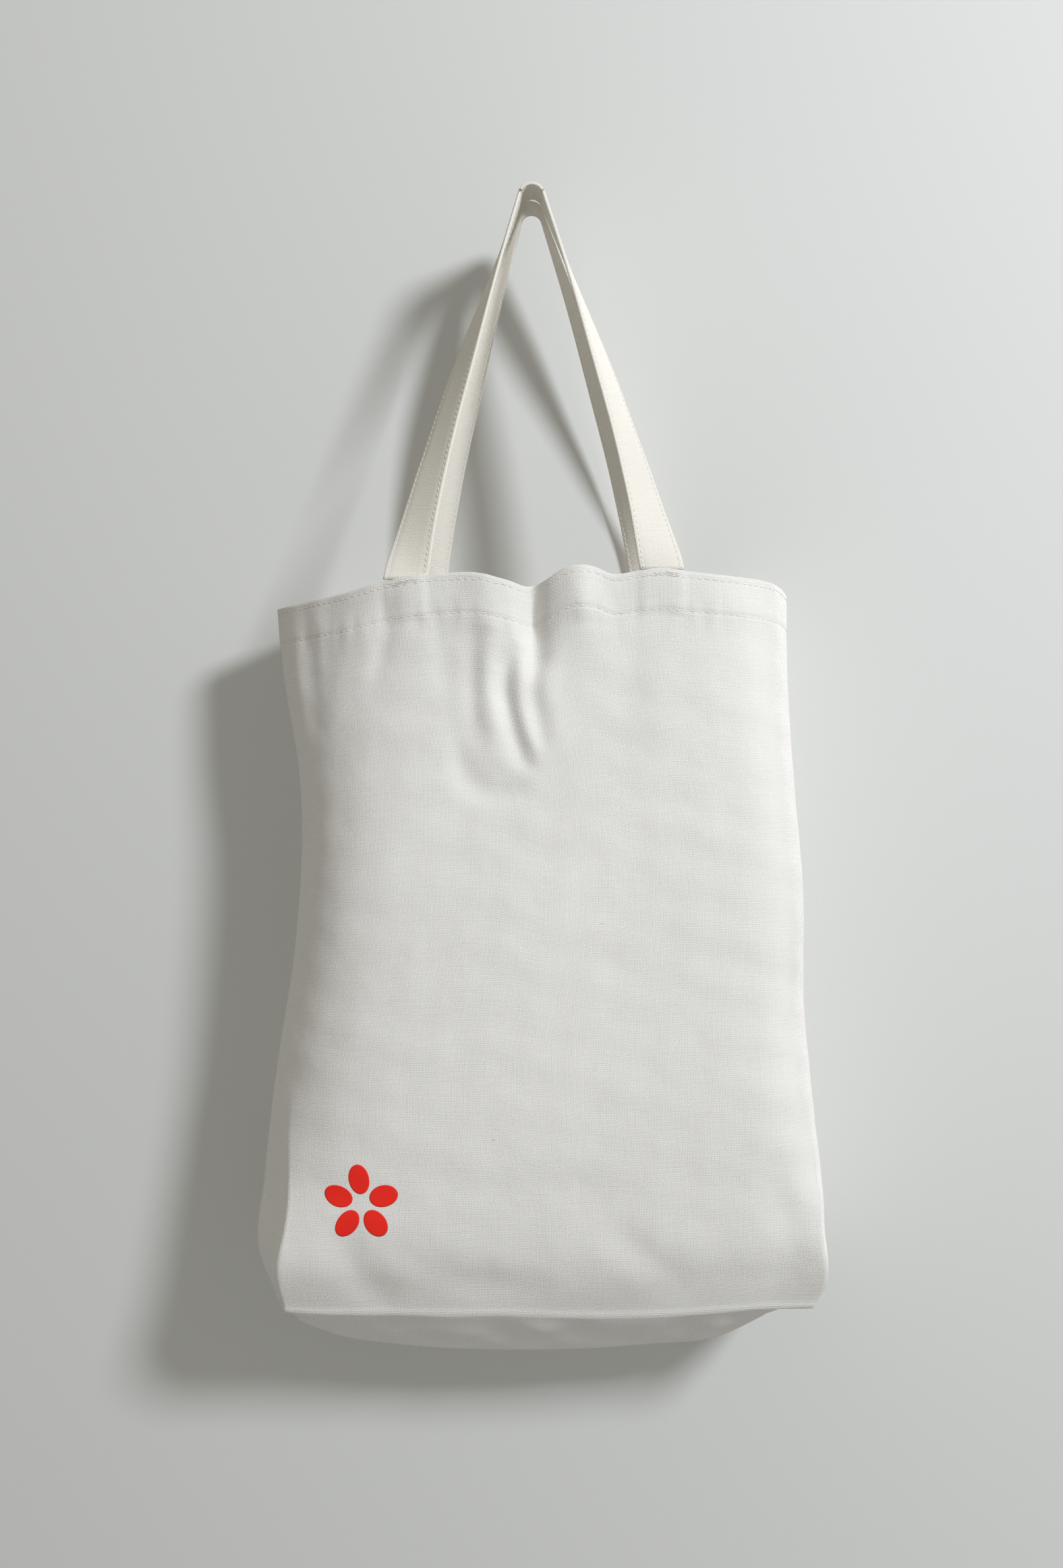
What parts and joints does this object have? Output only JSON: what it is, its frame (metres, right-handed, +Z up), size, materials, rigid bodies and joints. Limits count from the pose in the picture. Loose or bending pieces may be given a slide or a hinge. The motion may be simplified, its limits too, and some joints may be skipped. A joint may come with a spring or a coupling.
{
  "type": "tote bag",
  "caption": "Filled canvas tote bag with a boxed base, a stitched hem and long shoulder straps, hanging by its straps.",
  "frame": {"origin": "the hook seat: underside of the straps' tops, midway between the two straps", "axes": "+Z up, +X across the bag, the printed front faces -Y"},
  "size_m": [0.3802, 0.1328, 0.771],
  "materials": {
    "body_canvas": "unbleached cotton canvas, plain weave, matt, with small slubs and flecks",
    "strap_canvas": "folded cotton canvas tape, edge stitched",
    "cotton_thread": "off-white twisted sewing thread",
    "red_ink": "flat screen-printed ink, slightly broken by the weave"
  },
  "bodies": {
    "bag": {"back_bartack_left": "cotton_thread", "back_bartack_right": "cotton_thread", "back_hem": "body_canvas", "back_panel": "body_canvas", "back_strap_end_left": "strap_canvas", "back_strap_end_right": "strap_canvas", "bottom_seam": "body_canvas", "front_bartack_left": "cotton_thread", "front_bartack_right": "cotton_thread", "front_hem": "body_canvas", "front_panel": "body_canvas", "front_strap_end_left": "strap_canvas", "front_strap_end_right": "strap_canvas", "hem_stitch_lower": "cotton_thread", "hem_stitch_upper": "cotton_thread", "left_corner_seam": "body_canvas", "left_side_seam": "body_canvas", "printed_mark": "red_ink", "right_corner_seam": "body_canvas", "right_side_seam": "body_canvas"},
    "front_strap": {"front_handle": "strap_canvas", "front_handle_stitching": "cotton_thread"},
    "back_strap": {"back_handle": "strap_canvas", "back_handle_stitching": "cotton_thread"}
  },
  "joints": [
    {"name": "front_strap_swing", "type": "hinge", "parent": "bag", "child": "front_strap", "pos_m": [0, -0.066, -0.2588], "axis": [1, 0, 0], "range_deg": [0, 170]},
    {"name": "back_strap_swing", "type": "hinge", "parent": "bag", "child": "back_strap", "pos_m": [0, 0.066, -0.2588], "axis": [-1, 0, 0], "range_deg": [0, 170]}
  ]
}
